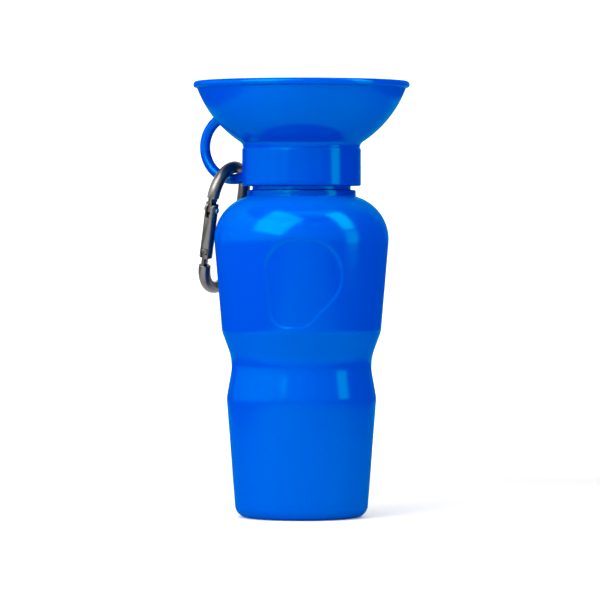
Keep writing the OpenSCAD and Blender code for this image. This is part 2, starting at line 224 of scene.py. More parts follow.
HEAD_TOP = HEAD_LOW + 2.4
HEAD_ROUND = 0.45
NOSE_SLOT = 1.2
HEAD_SLOT = 2.2
HEAD_SLOT_LOW = HEAD_LOW - 0.4
HEAD_SLOT_HIGH = HEAD_LOW + 2.9
SLOT_IN = 1.9
PAST = 5.0  # how far a cutter reaches past the bar
OVERLAP = 1.0  # how far two pieces run over each other where one joins or cuts the other

BACK_LEFT = math.pi - RING_TURN
HOOK_TURN = math.pi / 2 - RING_TURN
HOOK_PLACE = (
    Matrix.Rotation(HOOK_TURN, 4, "Z")
    @ Matrix.Translation((0, HANG_OUT * MM, HANG_HEIGHT * MM))
    @ Matrix.Rotation(HOOK_YAW, 4, "Z")
    @ Matrix.Rotation(HOOK_LEAN, 4, "X")
    @ Matrix.Translation((0, 0, -BEND * MM))
    @ Matrix.Rotation(HOOK_TILT, 4, "Y")
)


# ---------------------------------------------------------------- outlines

LEAST_ROUNDING = 0.2
SMALL_ROUNDING = 2.0  # up to here an arc is drawn in steps of SMALL_ARC_STEP degrees or more
SMALL_ARC_STEP = 15.0


def unit(value):
    """A number held between 0 and 1."""
    return min(1.0, max(0.0, value))


def eased(share):
    """A share from 0 to 1 that starts and ends softly."""
    return share * share * (3 - 2 * share)


def corner_arc(before, corner, after, arc_step):
    """One corner (radius, height, rounding) of an outline as the points of its arc."""
    at = Vector(corner[:2])
    rounding = corner[2]
    if rounding == 0:
        return [at]
    back = (Vector(before[:2]) - at).normalized()
    ahead = (Vector(after[:2]) - at).normalized()
    half = back.angle(ahead) / 2
    centre = at + (back + ahead).normalized() * rounding / math.sin(half)
    run = rounding / math.tan(half)
    start = at + back * run - centre
    end = at + ahead * run - centre
    turn = math.pi - 2 * half
    step = arc_step if rounding > SMALL_ROUNDING else max(arc_step, SMALL_ARC_STEP)
    steps = max(3, math.ceil(turn / math.radians(step)))
    shares = [i / steps for i in range(steps + 1)]
    return [
        centre + (start * math.sin(turn * (1 - s)) + end * math.sin(turn * s)) / math.sin(turn)
        for s in shares
    ]


def rounded(corners, closed=False, arc_step=3.0):
    """An outline with every corner turned into its arc; an open one keeps its two ends."""
    points = []
    last = len(corners) - 1
    for i, corner in enumerate(corners):
        if not closed and i in (0, last):
            points.append(Vector(corner[:2]))
        else:
            points += corner_arc(corners[i - 1], corner, corners[(i + 1) % len(corners)], arc_step)
    return points


def moved_left(corners, distance):
    """An open outline moved sideways by distance, its roundings kept concentric."""
    moved = []
    for before, corner, after in zip(corners, corners[1:], corners[2:]):
        ahead = (Vector(corner[:2]) - Vector(before[:2])).normalized()
        beyond = (Vector(after[:2]) - Vector(corner[:2])).normalized()
        left = Vector((-ahead.y, ahead.x))
        next_left = Vector((-beyond.y, beyond.x))
        at = Vector(corner[:2]) + (left + next_left) * distance / (1 + left.dot(next_left))
        bends_left = ahead.x * beyond.y - ahead.y * beyond.x > 0
        rounding = corner[2] - distance if bends_left else corner[2] + distance
        moved.append((at.x, at.y, max(LEAST_ROUNDING, rounding)))
    return moved


def stepped(points, longest):
    """The same line in stretches no longer than longest, a length or a function of the height."""
    line = [points[0]]
    for a, b in zip(points, points[1:]):
        limit = longest((a.y + b.y) / 2) if callable(longest) else longest
        pieces = max(1, math.ceil((b - a).length / limit))
        line += [a.lerp(b, (i + 1) / pieces) for i in range(pieces)]
    return line


def stepped_loop(points, longest):
    """The same for a closed line, whose first point isn't repeated at its end."""
    return stepped(points + points[:1], longest)[:-1]


def distance_to(line, point):
    """The distance from a point to an open line of points."""
    nearest = math.inf
    for a, b in zip(line, line[1:]):
        side = b - a
        share = unit((point - a).dot(side) / side.length_squared)
        nearest = min(nearest, (a + side * share - point).length)
    return nearest


def inside_depth(outline, point):
    """How far a point is inside a closed outline; below zero outside it."""
    loop = outline + outline[:1]
    inside = False
    for a, b in zip(loop, loop[1:]):
        crosses = (a.y > point.y) != (b.y > point.y)
        if crosses and point.x < a.x + (point.y - a.y) / (b.y - a.y) * (b.x - a.x):
            inside = not inside
    nearest = distance_to(loop, point)
    return nearest if inside else -nearest


# ---------------------------------------------------------------- modelling

SAME_POINT = 0.002  # points closer than this are merged
SAME_LEVEL = 0.01


def object_mode():
    if bpy.context.object and bpy.context.object.mode != "OBJECT":
        bpy.ops.object.mode_set(mode="OBJECT")


def start_piece(name):
    """Names the primitive that was just added and applies its place."""
    piece = bpy.context.object
    piece.name = name
    piece.data.name = name
    bpy.ops.object.transform_apply(location=True, rotation=True, scale=True)
    return piece


def alone():
    """Leaves nothing selected, so that the next primitive is worked on by itself."""
    object_mode()
    bpy.ops.object.select_all(action="DESELECT")


def only(piece):
    """Leaves one piece selected and active."""
    alone()
    piece.select_set(True)
    bpy.context.view_layer.objects.active = piece


def edit(piece):
    only(piece)
    bpy.ops.object.mode_set(mode="EDIT")


def edit_all(piece):
    """Opens a piece for editing with everything selected."""
    edit(piece)
    bpy.ops.mesh.select_all(action="SELECT")


def smooth(piece, angle):
    only(piece)
    bpy.ops.object.shade_smooth_by_angle(angle=math.radians(angle))


def merge_doubles():
    bpy.ops.mesh.select_all(action="SELECT")
    bpy.ops.mesh.remove_doubles(threshold=SAME_POINT * MM)


def select_open_edges():
    bpy.ops.mesh.select_all(action="DESELECT")
    bpy.ops.mesh.select_non_manifold()


def cap_ends():
    """Closes the open ends of the piece that is being edited."""
    select_open_edges()
    bpy.ops.mesh.edge_face_add()


def drawn(name, points, azimuth=0.0, closed=False):
    """A line in the upright plane at an azimuth, extruded from point to point."""
    alone()
    bpy.ops.mesh.primitive_plane_add(size=MM)
    piece = start_piece(name)
    edit(piece)
    bpy.ops.mesh.merge(type="CENTER")
    out = Vector((math.cos(azimuth), math.sin(azimuth), 0))
    route = [(out * p.x + Vector((0, 0, p.y))) * MM for p in points]
    bpy.ops.transform.translate(value=route[0])
    if closed:
        route.append(route[0])
    for a, b in zip(route, route[1:]):
        bpy.ops.mesh.extrude_region_move(TRANSFORM_OT_translate={"value": b - a})
    bpy.ops.mesh.select_all(action="SELECT")
    return piece


def face_outwards():
    """Merges the doubles of the piece that is being edited and points its faces outwards."""
    merge_doubles()
    bpy.ops.mesh.normals_make_consistent(inside=False)


def closed_up(piece, angle=40):
    face_outwards()
    smooth(piece, angle)
    return piece


def spun(angle, steps, centre=(0, 0, 0), axis=(0, 0, 1)):
    """Spins what is selected; a positive angle turns anticlockwise seen from the axis's tip."""
    bpy.ops.mesh.spin(steps=steps, angle=-angle, center=centre, axis=axis)


def lathe(name, points, closed=False, steps=160):
    """A turned piece: the line is spun round the upright axis."""
    piece = drawn(name, points, closed=closed)
    spun(TURN, steps)
    return closed_up(piece)


def select_near(piece, test):
    """Selects the points that pass the test, with the edges and faces between them."""
    bpy.ops.mesh.select_all(action="DESELECT")
    bpy.ops.object.mode_set(mode="OBJECT")
    mesh = piece.data
    inside = [test(v.co / MM) for v in mesh.vertices]
    for v in mesh.vertices:
        v.select = inside[v.index]
    for e in mesh.edges:
        e.select = inside[e.vertices[0]] and inside[e.vertices[1]]
    for f in mesh.polygons:
        f.select = all(inside[i] for i in f.vertices)
    bpy.ops.object.mode_set(mode="EDIT")


def apply_modifier(piece, kind, **settings):
    only(piece)
    modifier = piece.modifiers.new(kind.title(), kind)
    for key, value in settings.items():
        setattr(modifier, key, value)
    bpy.ops.object.modifier_apply(modifier=modifier.name)


def cut(piece, cutter, operation="DIFFERENCE"):
    """Cuts one piece with another, which is then gone."""
    apply_modifier(piece, "BOOLEAN", object=cutter, operation=operation, solver="EXACT")
    bpy.data.objects.remove(cutter)


def join(piece, other):
    """Makes two pieces one solid."""
    cut(piece, other, "UNION")


def block(low, high):
    """A box between two corners."""
    alone()
    low = Vector(low)
    high = Vector(high)
    bpy.ops.mesh.primitive_cube_add(size=1, location=(low + high) / 2 * MM)
    bpy.context.object.scale = (high - low) * MM
    return start_piece("block")


def softened_block(low, high, edge):
    """A box with rounded edges."""
    piece = block(low, high)
    edit_all(piece)
    bpy.ops.mesh.bevel(offset=edge * MM, segments=3, affect="EDGES")
    object_mode()
    return piece


def rod(start, end, radius, sides=48):
    """A round bar between two points."""
    alone()
    start = Vector(start)
    end = Vector(end)
    along = end - start
    bpy.ops.mesh.primitive_cylinder_add(
        vertices=sides,
        radius=radius * MM,
        depth=along.length * MM,
        location=(start + end) / 2 * MM,
        rotation=along.to_track_quat("Z", "Y").to_euler(),
    )
    return start_piece("rod")


def helix(name, root, crest, low, high):
    """A screw thread's ridge between two heights, run out to nothing at both ends."""
    section = [
        Vector((root, -THREAD_ROOT_WIDTH / 2)),
        Vector((crest, -THREAD_CREST_WIDTH / 2)),
        Vector((crest, THREAD_CREST_WIDTH / 2)),
        Vector((root, THREAD_ROOT_WIDTH / 2)),
    ]
    piece = drawn(name, [p + Vector((0, low)) for p in section], closed=True)
    merge_doubles()
    turns = (high - low) / PITCH
    steps = round(THREAD_FACETS * turns)
    apply_modifier(
        piece,
        "SCREW",
        axis="Z",
        angle=TURN * turns,
        screw_offset=(high - low) * MM,
        steps=steps,
        render_steps=steps,
        use_normal_calculate=True,
    )
    for v in piece.data.vertices:
        flat = Vector((v.co.x, v.co.y, 0))
        rise = (v.co.z / MM - low) / (high - low)
        share = eased(unit(min(rise, 1 - rise) * turns / THREAD_RUN_OUT))
        reach = root + (flat.length / MM - root) * share
        v.co = flat.normalized() * reach * MM + Vector((0, 0, v.co.z))
    # Known fault: worked out on the run-out ends too, the faces of the neck's thread come out
    # pointing inwards.
    edit(piece)
    cap_ends()
    return closed_up(piece, angle=30)


# ---------------------------------------------------------------- finishes


class Wire:
    """One socket in a finish, on which arithmetic adds Math nodes."""

    def __init__(self, finish, socket):
        self.finish = finish
        self.socket = socket

    def maths(self, operation, first, second):
        return self.finish.node("Math", {"operation": operation}, {0: first, 1: second})

    def __add__(self, other):
        return self.maths("ADD", self, other)

    def __radd__(self, other):
        return self.maths("ADD", other, self)

    def __sub__(self, other):
        return self.maths("SUBTRACT", self, other)

    def __rsub__(self, other):
        return self.maths("SUBTRACT", other, self)

    def __mul__(self, other):
        return self.maths("MULTIPLY", self, other)

    def __rmul__(self, other):
        return self.maths("MULTIPLY", other, self)


class Finish:
    """A material, with one way of adding nodes to it."""

    def __init__(self, name):
        self.material = bpy.data.materials.new(name)
        self.material.use_nodes = True
        self.tree = self.material.node_tree
        self.tree.nodes.clear()
        self.place = self.node("TexCoord", output="Object")

    def node(self, kind, settings=None, sockets=None, output=0):
        """Adds a node, sets it, fills its sockets with links or values and gives its output."""
        node = self.tree.nodes.new("ShaderNode" + kind)
        for key, value in (settings or {}).items():
            setattr(node, key, value)
        for key, value in (sockets or {}).items():
            if isinstance(value, Wire):
                self.tree.links.new(value.socket, node.inputs[key])
            else:
                node.inputs[key].default_value = value
        return Wire(self, node.outputs[output]) if node.outputs else None

    def noise(self, scale, detail, roughness):
        sockets = {"Vector": self.place, "Scale": scale, "Detail": detail, "Roughness": roughness}
        return self.node("TexNoise", None, sockets)

    def along(self, axis):
        """The place along one axis, in metres."""
        return self.node("SeparateXYZ", None, {"Vector": self.place}, output=axis)

    def greater(self, first, second):
        return self.node("Math", {"operation": "MAXIMUM"}, {0: first, 1: second})

    def size(self, value):
        """A number without its sign."""
        return self.node("Math", {"operation": "ABSOLUTE"}, {0: value})

    def length(self, vector):
        return self.node("VectorMath", {"operation": "LENGTH"}, {0: vector}, output="Value")

    def blend(self, share, first, second):
        """Two colours, the second one showing by its share."""
        sockets = {0: share, 6: first, 7: second}
        return self.node("Mix", {"data_type": "RGBA", "clamp_factor": True}, sockets, output=2)

    def clamped(self, value):
        return self.node("Clamp", None, {"Value": value})

    def bump(self, height, distance, strength):
        sockets = {"Height": height, "Distance": distance, "Strength": strength}
        return self.node("Bump", None, sockets)

    def surface(self, sockets):
        """One Principled surface."""
        return self.ended(self.principled(sockets))

    def mixed(self, share, first, second):
        """Two Principled surfaces, the second one showing by its share."""
        shaders = {1: self.principled(first), 2: self.principled(second)}
        return self.ended(self.node("MixShader", None, {0: share, **shaders}))

    def principled(self, sockets):
        return self.node("BsdfPrincipled", None, sockets, output="BSDF")

    def ended(self, shader):
        """Sends a shader to the output and gives the finished material."""
        self.node("OutputMaterial", None, {"Surface": shader})
        return self.material


SHINE_TINT = (0.0, 0.95, 0.7, 1)
SHINE_FACING = 0.039
SHINE_GLANCING = 0.15
PLASTIC_IOR = 1.5
BODY_ROUGHER = 0.4


def azure_plastic(name, deep, bright, gloss, painted_light_bands=()):
    """Glossy blue moulded plastic under a clear skin whose shine is tinted cyan at every angle.

    Each band paints light or shade into the tone between two heights.
    """
    finish = Finish(name)
    flow = finish.noise(14.0, 2.0, 0.4)
    skin = finish.noise(160.0, 2.0, 0.5)
    grain = finish.noise(2600.0, 2.0, 0.6)
    relief = finish.bump(skin * 0.7 + grain * 0.3, 0.00004, 0.35)
    tone = finish.blend(flow, deep, bright)
    height = finish.along("Z")
    # Painted light and shade: each band lightens or darkens the tone between its two heights.
    for start, end, fade_in, fade_out, painted_tone in painted_light_bands:
        rising = finish.clamped((height - start) * (1 / fade_in))
        falling = finish.clamped((end - height) * (1 / fade_out))
        tone = finish.blend(rising * falling, tone, painted_tone)
    body = {
        "Base Color": tone,
        "Roughness": gloss + BODY_ROUGHER + 0.05 * flow,
        "Normal": relief,
        "Specular IOR Level": 0.0,
    }
    shine = {
        "Base Color": SHINE_TINT,
        "Specular Tint": SHINE_TINT,
        "Metallic": 1.0,
        "Roughness": gloss + 0.05 * flow + 0.03 * grain,
        "Normal": relief,
    }
    share = finish.node("Fresnel", None, {"IOR": PLASTIC_IOR, "Normal": relief})
    return finish.mixed(share * SHINE_GLANCING + SHINE_FACING, body, shine)


def hook_metal(name):
    """Gunmetal anodised bar: fine drawn grain along it, duller where it has rubbed."""
    finish = Finish(name)
    cloud = finish.noise(180.0, 4.0, 0.6)
    grain = finish.noise(5200.0, 2.0, 0.6)
    color = finish.blend(cloud, (0.11, 0.106, 0.099, 1), (0.205, 0.199, 0.188, 1))
    return finish.surface(
        {
            "Base Color": color,
            "Metallic": 1.0,
            "Roughness": 0.2 + 0.12 * cloud + 0.06 * grain,
            "Normal": finish.bump(grain * 0.6 + cloud * 0.4, 0.00003, 0.4),
        }
    )


def plain_steel(name):
    """Bright steel of the rivet, the spring and the plunger."""
    finish = Finish(name)
    cloud = finish.noise(400.0, 3.0, 0.6)
    grain = finish.noise(6000.0, 2.0, 0.5)
    return finish.surface(
        {
            "Base Color": finish.blend(cloud, (0.5, 0.5, 0.51, 1), (0.66, 0.66, 0.65, 1)),
            "Metallic": 1.0,
            "Roughness": 0.2 + 0.15 * cloud,
            "Normal": finish.bump(grain, 0.00002, 0.4),
        }
    )


def soft_rubber(name, dark, light, rough):
    """Silicone or rubber: matte, with a fine dusty skin."""
    finish = Finish(name)
    cloud = finish.noise(220.0, 3.0, 0.55)
    skin = finish.noise(3500.0, 3.0, 0.6)
    return finish.surface(
        {
            "Base Color": finish.blend(cloud, dark, light),
            "Roughness": rough + 0.12 * skin,
            "Normal": finish.bump(skin, 0.00003, 0.5),
        }
    )


def satin_plastic(name, dark, light):
    """Satin moulded plastic with the fine texture of an eroded mould."""
    finish = Finish(name)
    cloud = finish.noise(60.0, 2.0, 0.5)
    spark = finish.noise(2400.0, 2.0, 0.7)
    return finish.surface(
        {
            "Base Color": finish.blend(cloud, dark, light),
            "Roughness": 0.36 + 0.12 * spark,
            "Normal": finish.bump(spark, 0.00004, 0.45),
        }
    )


DEEP_BLUE = (0.0, 0.033, 0.4, 1)
BRIGHT_BLUE = (0.0, 0.04, 0.44, 1)
# A band is its start, its end, the lengths of its fade in and fade out, in metres, and its tone;
# each band is painted light or shade.
# Painted reflection: the upper shoulder is drawn lighter and greener where it mirrors the bowl's
# underside.
SHOULDER_PAINTED_REFLECTION = (0.152, 0.1688, 0.0125, 0.001, (0.0, 0.068, 0.42, 1))
# Painted shade: the bead is drawn darker where the collar shades it.
BEAD_PAINTED_SHADE = (0.1685, 0.1722, 0.0005, 0.0005, (0.0, 0.012, 0.3, 1))
# Painted bounced light: the neck is drawn a brighter blue in the collar's shade.
NECK_PAINTED_BOUNCE_LIGHT = (0.1719, 0.2, 0.0005, 0.0005, (0.0, 0.05, 0.85, 1))
BOTTLE_PAINTED_LIGHT = (SHOULDER_PAINTED_REFLECTION, BEAD_PAINTED_SHADE, NECK_PAINTED_BOUNCE_LIGHT)
# Painted shade: the collar below the bowl is drawn darker.
COLLAR_PAINTED_SHADE = (0.173, 0.1934, 0.0005, 0.0005, (0.0, 0.025, 0.372, 1))

# The bottle's bands are painted light and shade: a painted reflection on the shoulder, painted
# shade on the bead, painted bounced light in the neck.
BOTTLE_BLUE = azure_plastic("bottle_blue", DEEP_BLUE, BRIGHT_BLUE, 0.13, BOTTLE_PAINTED_LIGHT)
# The bowl's collar band is painted shade.
BOWL_BLUE = azure_plastic("bowl_blue", DEEP_BLUE, BRIGHT_BLUE, 0.1, (COLLAR_PAINTED_SHADE,))
VALVE_BLUE = satin_plastic("valve_blue", (0.0, 0.11, 0.66, 1), (0.005, 0.14, 0.78, 1))
SILICONE = soft_rubber("silicone_white", (0.56, 0.58, 0.59, 1), (0.64, 0.65, 0.66, 1), 0.42)
RUBBER = soft_rubber("black_rubber", (0.02, 0.02, 0.022, 1), (0.045, 0.045, 0.048, 1), 0.5)
TUBE = satin_plastic("milky_tube", (0.72, 0.79, 0.86, 1), (0.84, 0.89, 0.93, 1))
HOOK_METAL = hook_metal("gunmetal")
STEEL = plain_steel("plain_steel")


def finished(piece, material, body, slot, *replaced):
    """Gives a piece its finish, the body that it moves with and the solids that it stands for."""
    piece.data.materials.clear()
    piece.data.materials.append(material)
    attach(piece, body)
    if replaced:
        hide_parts(*replaced)
    return piece


# ---------------------------------------------------------------- bottle

# A corner of an outline is its radius, its height and its rounding.
BODY_LINE = [
    (0, BASE_HOLLOW, 0),
    (BASE_HOLLOW_RADIUS, BASE_HOLLOW, 2),
    (BASE_RING_RADIUS, 0, 1),
    (FOOT_RADIUS, 0, FOOT_ROUND),
    (RIDGE_RADIUS, RIDGE_HEIGHT, 20),
    (WAIST_RADIUS, WAIST_HEIGHT, WAIST_ROUND),
    (GRIP_RADIUS, GRIP_HEIGHT, 12),
    (SHOULDER_RADIUS, SHOULDER_HEIGHT, SHOULDER_ROUND),
]
SHOULDER_FALL = (NECK_ROOT - SHOULDER_HEIGHT) / (SHOULDER_RADIUS - NECK_RADIUS)
BEAD_LINE = [
    (BEAD_RADIUS, NECK_ROOT - (BEAD_RADIUS - NECK_RADIUS) * SHOULDER_FALL, 0.35),
    (BEAD_RADIUS, BEAD_TOP, 0.8),
    (NECK_RADIUS, BEAD_TOP, 0.5),
    (NECK_RADIUS, MOUTH, 0.4),
    (MOUTH_BORE, MOUTH, 0.4),
]
NECK_LINE = [(NECK_RADIUS, NECK_ROOT, 1), (NECK_RADIUS, MOUTH, 0)]
# The recess is drawn as seen from the front: across, height, rounding.
RECESS_LINE = [(-20.6, 146, 15), (21, 146, 18), (21, 120, 17), (2.5, 100.4, 10), (-15.5, 100.4, 9)]
FRONT = -math.pi / 2
FRONT_SWEEP = math.radians(72)
FRONT_FACETS = 120
BACK_FACETS = 112
RECESS_STEP = 0.55
OUTSIDE_STEP = 3.0
INSIDE_STEP = 12.0
INSIDE_ARC_STEP = 8.0


def beside_recess(z):
    """True at the heights of the recess, all round the bottle."""
    return RECESS_LOW < z < RECESS_HIGH


def press_recess(piece):
    """Presses the thumb recess into the front, with a soft edge."""
    outline = rounded(RECESS_LINE, closed=True)
    group = piece.vertex_groups.new(name="recess")
    taper = (SHOULDER_RADIUS - GRIP_RADIUS) / (SHOULDER_HEIGHT - GRIP_HEIGHT)
    for v in piece.data.vertices:
        x, y, z = v.co / MM
        outer = GRIP_RADIUS + (z - GRIP_HEIGHT) * taper - WALL / 2
        if y > 0 or not beside_recess(z) or math.hypot(x, y) < outer:
            continue
        share = unit(inside_depth(outline, Vector((x, z))) / RECESS_EDGE + 0.5)
        if share > 0:
            group.add([v.index], eased(share), "REPLACE")
    apply_modifier(
        piece,
        "DISPLACE",
        direction="NORMAL",
        mid_level=0.0,
        strength=-RECESS_DEPTH * MM,
        vertex_group="recess",
    )


def make_bottle():
    """The blown bottle: outside and inside drawn as one line, the front spun in finer steps."""
    outer = stepped(
        rounded(BODY_LINE + BEAD_LINE)[:-1] + [Vector((MOUTH_BORE, MOUTH))],
        lambda z: RECESS_STEP if beside_recess(z) else OUTSIDE_STEP,
    )
    inner_line = [(0, BASE_HOLLOW + WALL, 0)] + moved_left(BODY_LINE + NECK_LINE, WALL)
    inner_line.append((MOUTH_BORE, MOUTH, 0))
    inner = stepped(rounded(inner_line, arc_step=INSIDE_ARC_STEP), INSIDE_STEP)
    start = FRONT - FRONT_SWEEP / 2
    piece = drawn("bottle_shell", outer + inner[::-1][1:], azimuth=start)
    spun(FRONT_SWEEP, FRONT_FACETS)
    spun(TURN - FRONT_SWEEP, BACK_FACETS)
    closed_up(piece)
    press_recess(piece)
    return piece


finished(make_bottle(), BOTTLE_BLUE, "bottle", "bottle_plastic", "bottle")

neck_thread = helix(
    "neck_thread",
    root=NECK_RADIUS - THREAD_SUNK,
    crest=NECK_THREAD_CREST,
    low=NECK_THREAD_LOW,
    high=NECK_THREAD_HIGH,
)
finished(neck_thread, BOTTLE_BLUE, "bottle", "bottle_plastic")

# ---------------------------------------------------------------- bowl

BOWL_SIDE = [
    (COLLAR_RADIUS, COLLAR_TOP, 0.3),
    (COLLAR_RADIUS - COLLAR_LEDGE, COLLAR_TOP + COLLAR_LEDGE, 0.3),
    (COLLAR_RADIUS - BOWL_BASE_IN, COLLAR_TOP + BOWL_BASE_RISE, 3.5),
    (LIP_RADIUS - BOWL_BELLY_IN, FLOOR + BOWL_BELLY_RISE, BOWL_ROUND),
    (LIP_RADIUS - LIP_OVERHANG, LIP_LOW, 0.5),
]


def make_bowl():
    """The bowl with its collar, drawn as one closed line and spun."""
    base_in, belly_in = moved_left(BOWL_SIDE, BOWL_WALL)[1:3]
    slope = (belly_in[0] - base_in[0]) / (belly_in[1] - base_in[1])
    floor_edge = belly_in[0] - (belly_in[1] - FLOOR) * slope
    seal_top = RIM_TOP + 2 * RUNNING_GAP
    seal_bottom = MOUTH - 0.4
    line = (
        [(THREAD_BORE, COLLAR_BOTTOM, 0.4), (COLLAR_RADIUS, COLLAR_BOTTOM, 0.8)]
        + BOWL_SIDE
        + [
            (LIP_RADIUS, LIP_LOW, 1.4),
            (LIP_RADIUS, LIP_TOP, 1.7),
            (LIP_IN, LIP_TOP, 1.6),
            (LIP_IN - LIP_TAPER, LIP_LOW - LIP_DRIP, 2),
            belly_in,
            (floor_edge, FLOOR, 8),
            (HOLE_RADIUS, FLOOR, 0.3),
            (HOLE_RADIUS, FLOOR_UNDER, 0.3),
            (CHAMBER_RADIUS, FLOOR_UNDER, 0.8),
            (CHAMBER_RADIUS, seal_top, 0.2),
            (SEAL_BORE, seal_top, 0.2),
            (SEAL_BORE, seal_bottom, 0.3),
            (THREAD_BORE, seal_bottom - 1, 0.3),
        ]
    )
    points = stepped_loop(rounded(line, closed=True), longest=2.0)
    return lathe("bowl_shell", points, closed=True, steps=200)


finished(make_bowl(), BOWL_BLUE, "bowl", "bowl_plastic", "bowl")

collar_thread = helix(
    "collar_thread",
    root=THREAD_BORE + THREAD_SUNK,
    crest=COLLAR_THREAD_CREST,
    low=COLLAR_THREAD_LOW,
    high=COLLAR_THREAD_HIGH,
)
finished(collar_thread, BOWL_BLUE, "bowl", "bowl_plastic")


def make_ring():
    """The carry ring: a round section spun through its arc, flared where it joins the bowl."""
    alone()
    centre = Vector((RING_REACH, 0, RING_HEIGHT))
    start = centre + Vector((math.cos(RING_LOW), 0, math.sin(RING_LOW))) * RING_RADIUS
    bpy.ops.mesh.primitive_circle_add(
        vertices=40,
        radius=RING_BAR * MM,
        location=start * MM,
        rotation=(math.pi / 2, 0, 0),
    )
    piece = start_piece("carry_ring")
    quarter = Matrix.Rotation(math.pi / 2, 4, "Z")
    piece.data.transform(Matrix.Translation(start * -MM))
    piece.data.transform(Matrix.Rotation(math.pi / 2 - RING_LOW, 4, "Y") @ quarter)
    piece.data.transform(Matrix.Translation(start * MM))
    edit_all(piece)
    spun(RING_HIGH - RING_LOW, 120, centre * MM, (0, -1, 0))
    cap_ends()
    closed_up(piece, angle=60)
    low = COLLAR_BOTTOM - ROOT_DROP
    side = [(COLLAR_RADIUS, low, 0)] + BOWL_SIDE
    skin = rounded(side)
    for v in piece.data.vertices:
        at = v.co / MM
        turn = math.atan2(at.z - RING_HEIGHT, at.x - RING_REACH)
        bar = centre + Vector((math.cos(turn), 0, math.sin(turn))) * RING_RADIUS
        gap = distance_to(skin, Vector((math.hypot(at.x, at.y), at.z)))
        v.co = (bar + (at - bar) * (1 + FLARE * math.exp(-gap / FLARE_LENGTH))) * MM
    core = [(0, low, 0), (COLLAR_RADIUS - ROOT_DEPTH, low, 0)]
    core += moved_left(side + [(LIP_RADIUS, LIP_TOP, 0)], ROOT_DEPTH)
    core.append((0, LIP_LOW, 0))
    cut(piece, lathe("ring_root", rounded(core)))
    smooth(piece, angle=50)
    piece.data.transform(Matrix.Rotation(BACK_LEFT, 4, "Z"))
    return piece


finished(make_ring(), BOWL_BLUE, "bowl", "bowl_plastic")

# ---------------------------------------------------------------- valve

VALVE_STEP = 1.5


def turned(name, line, steps=96, closed=True):
    """A turned piece from the corners of its outline."""
    in_steps = stepped_loop if closed else stepped
    points = in_steps(rounded(line, closed=closed), VALVE_STEP)
    return lathe(name, points, closed=closed, steps=steps)


def make_insert():
    """The valve insert in the mouth: skirt, disc, rim with a groove, post with windows and stem."""
    socket = TUBE_RADIUS + RUNNING_GAP
    line = [
        (socket, SOCKET_LOW, 0.2),
        (socket + SOCKET_WALL, SOCKET_LOW, 0.5),
        (socket + SOCKET_WALL, DISC_LOW, 1.2),
        (SKIRT_RADIUS - SKIRT_WALL, DISC_LOW, 1.2),
        (SKIRT_RADIUS - SKIRT_WALL, SKIRT_LOW, 0.3),
        (SKIRT_RADIUS - SKIRT_LEAD_IN, SKIRT_LOW, 0.2),
        (SKIRT_RADIUS, SKIRT_LOW + SKIRT_LEAD_RISE, 0.4),
        (SKIRT_RADIUS, DISC_LOW, 0.1),
        (RIM_RADIUS, DISC_LOW, 0.25),
        (RIM_RADIUS, GROOVE_LOW, 0.2),
        (GROOVE_RADIUS, GROOVE_LOW, 0.1),
        (GROOVE_RADIUS, GROOVE_HIGH, 0.1),
        (RIM_RADIUS, GROOVE_HIGH, 0.2),
        (RIM_RADIUS, RIM_TOP, 0.4),
        (GROOVE_RADIUS - RIM_WALL, RIM_TOP, 0.4),
        (GROOVE_RADIUS - RIM_WALL, DISC_TOP, 1),
        (POST_RADIUS, DISC_TOP, 0.2),
        (POST_RADIUS, POST_TOP, 0.2),
        (STEM_RADIUS, POST_TOP, 0.1),
        (STEM_RADIUS, STEM_TOP, 0.3),
        (0, STEM_TOP, 0),
        (0, POST_BORE_TOP, 0),
        (POST_BORE, POST_BORE_TOP, 0.5),
        (POST_BORE, DISC_LOW, 0.1),
        (socket, DISC_LOW, 0.1),
    ]
    piece = turned("valve_insert", line)
    reach = POST_RADIUS + OVERLAP
    for x, y in ((reach, WINDOW_HALF), (WINDOW_HALF, reach)):
        cut(piece, block((-x, -y, WINDOW_LOW), (x, y, WINDOW_HIGH)))
    smooth(piece, angle=35)
    return piece


finished(make_insert(), VALVE_BLUE, "insert", "valve_plastic", "neck_insert")

plug = turned(
    "silicone_plug",
    [
        (0, STEM_TOP + RUNNING_GAP, 0),
        (STEM_RADIUS + RUNNING_GAP, STEM_TOP + RUNNING_GAP, 0.2),
        (STEM_RADIUS + RUNNING_GAP, PLUG_SHELF, 0.1),
        (PLUG_BORE, PLUG_SHELF, 0.1),
        (PLUG_BORE, PLUG_LOW, 0.1),
        (PLUG_RADIUS, PLUG_LOW, 0.3),
        (PLUG_RADIUS, PLUG_EDGE, 0.6),
        (PLUG_CROWN, PLUG_DOME, 2),
        (0, PLUG_TOP, 0),
    ],
    closed=False,
)
finished(plug, SILICONE, "insert", "silicone", "plug_seal")

seat_ring = turned(
    "seat_ring",
    [
        (SEAT_BORE + SEAT_LEAD_IN, FLOOR_UNDER - SEAT_FLANGE, 0.2),
        (SEAT_RADIUS, FLOOR_UNDER - SEAT_FLANGE, 0.3),
        (SEAT_RADIUS - SEAT_UNDERCUT, FLOOR_UNDER - RUNNING_GAP, 0.1),
        (HOLE_RADIUS - RUNNING_GAP, FLOOR_UNDER - RUNNING_GAP, 0.1),
        (HOLE_RADIUS - RUNNING_GAP, FLOOR + RUNNING_GAP, 0.1),
        (SEAT_RADIUS - SEAT_UNDERCUT, FLOOR + RUNNING_GAP, 0.1),
        (SEAT_RADIUS, FLOOR + SEAT_FLANGE, 0.3),
        (SEAT_BORE, FLOOR + SEAT_FLANGE, 0.2),
        (SEAT_BORE, SEAT_LEAD_TOP, 0.2),
        (SEAT_BORE + SEAT_LEAD_IN, FLOOR - SEAT_LEAD_IN, 0.2),
    ],
)
finished(seat_ring, SILICONE, "seat", "silicone", "seat_seal")

